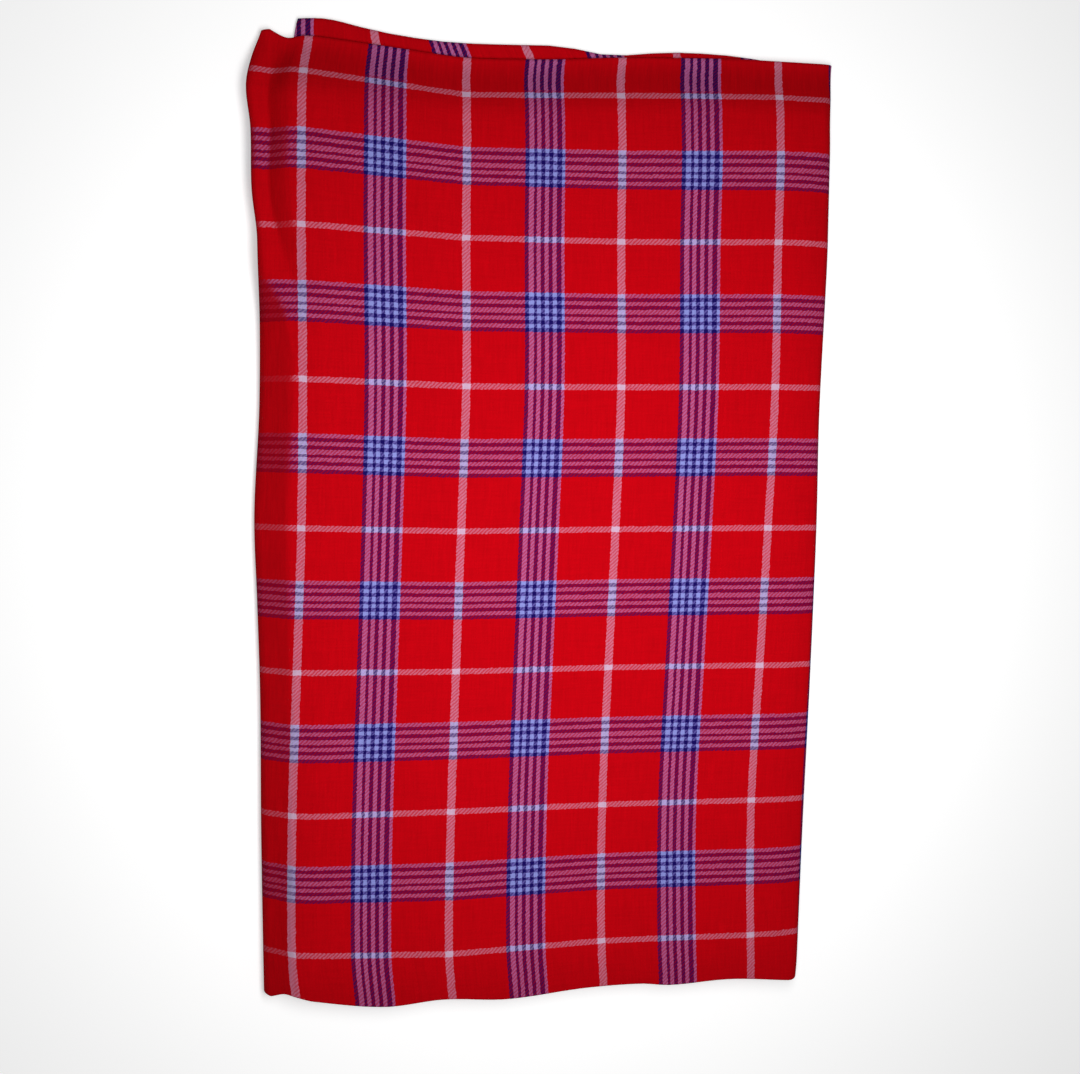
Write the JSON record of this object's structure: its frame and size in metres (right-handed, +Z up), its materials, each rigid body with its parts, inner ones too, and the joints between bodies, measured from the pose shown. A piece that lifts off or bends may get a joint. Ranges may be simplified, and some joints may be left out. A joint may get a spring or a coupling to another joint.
{
  "type": "folded shuka blanket",
  "caption": "Checked woven shuka cloth in one piece, folded flat into an uneven pile that lies on a surface; worn as a wrap or used as a throw.",
  "frame": {"origin": "middle of the pile's box, on the surface that it lies on", "axes": "+Z up out of the surface, +Y along the pile towards the cut ends that show on top, +X across it to the right"},
  "size_m": [0.382, 0.6366, 0.0254],
  "materials": {
    "shuka_twill": "matte woven twill, red ground with dark blue and white checks"
  },
  "bodies": {
    "root": {"shuka_cloth": "shuka_twill"}
  },
  "joints": []
}
